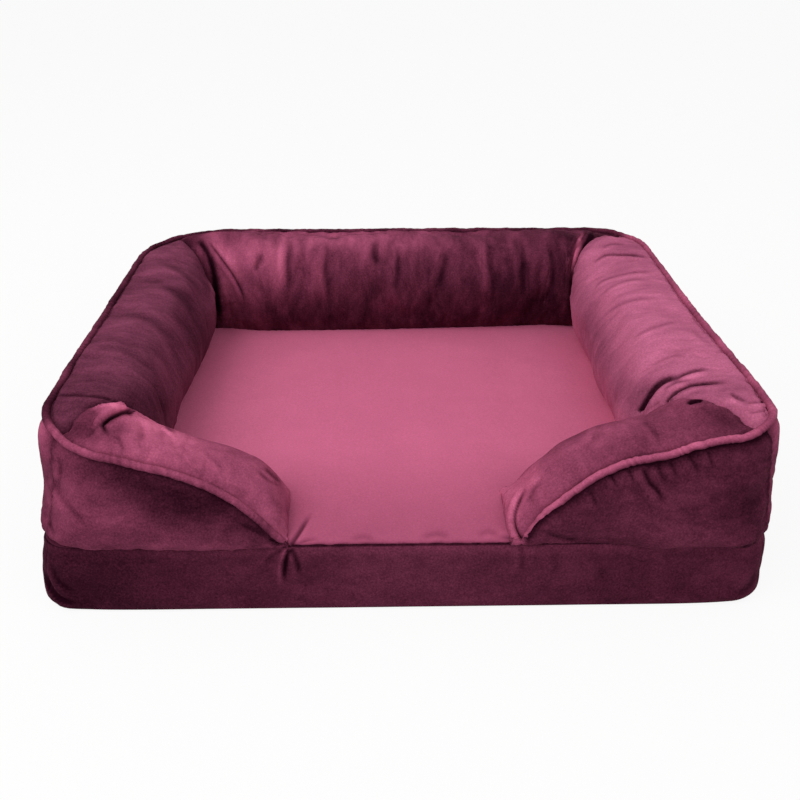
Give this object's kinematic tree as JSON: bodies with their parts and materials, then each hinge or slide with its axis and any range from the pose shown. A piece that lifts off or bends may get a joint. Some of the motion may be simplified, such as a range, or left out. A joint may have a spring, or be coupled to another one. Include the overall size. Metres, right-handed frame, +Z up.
{
  "type": "dog bed",
  "caption": "Rectangular sofa-style dog bed: a zipped foam base with a stuffed bolster on three sides, low front arms and an open entrance.",
  "frame": {"origin": "on the floor, at the middle of the outline", "axes": "+X along the long side, +Y from the open entrance to the back, +Z up"},
  "size_m": [0.7194, 0.5914, 0.198],
  "materials": {
    "plush": "short-pile plush, wine red",
    "fibre_fill": "loose polyester fibre",
    "foam": "open-cell foam",
    "underside_fabric": "plain woven, grip dots",
    "cotton_cord": "twisted cotton",
    "zip_tape": "woven polyester tape",
    "zip_coil": "nylon coil",
    "zip_metal": "satin nickel"
  },
  "bodies": {
    "bed": {"base_top_panel": "plush", "base_band_front": "plush", "base_band_left": "plush", "base_band_right": "plush", "base_back_strip_upper": "plush", "base_back_strip_lower": "plush", "wall_panel_left": "plush", "wall_panel_back": "plush", "wall_panel_right": "plush", "wall_panel_front_left": "plush", "wall_panel_front_right": "plush", "roll_panel_left": "plush", "roll_panel_back": "plush", "roll_panel_right": "plush", "roll_panel_front_left": "plush", "roll_panel_front_right": "plush", "piping_cover": "plush", "bolster_fill_left": "fibre_fill", "bolster_fill_back": "fibre_fill", "bolster_fill_right": "fibre_fill", "bolster_fill_front_left": "fibre_fill", "bolster_fill_front_right": "fibre_fill", "mattress_foam": "foam", "base_bottom_panel": "underside_fabric", "piping_cord": "cotton_cord", "zip_tape_upper": "zip_tape", "zip_tape_lower": "zip_tape", "zip_coil_upper": "zip_coil", "zip_coil_lower": "zip_coil", "zip_stops": "zip_metal"},
    "zip_slider": {"zip_slider": "zip_metal"},
    "zip_pull": {"zip_pull": "zip_metal"}
  },
  "joints": [
    {"name": "zip_slide", "type": "slide", "parent": "bed", "child": "zip_slider", "axis": [-1, 0, 0], "range_m": [0, 0.5924]},
    {"name": "zip_pull_swing", "type": "hinge", "parent": "zip_slider", "child": "zip_pull", "pos_m": [0.2962, 0.29295, 0.039], "axis": [0, 0, 1], "range_deg": [-180, 0]}
  ]
}
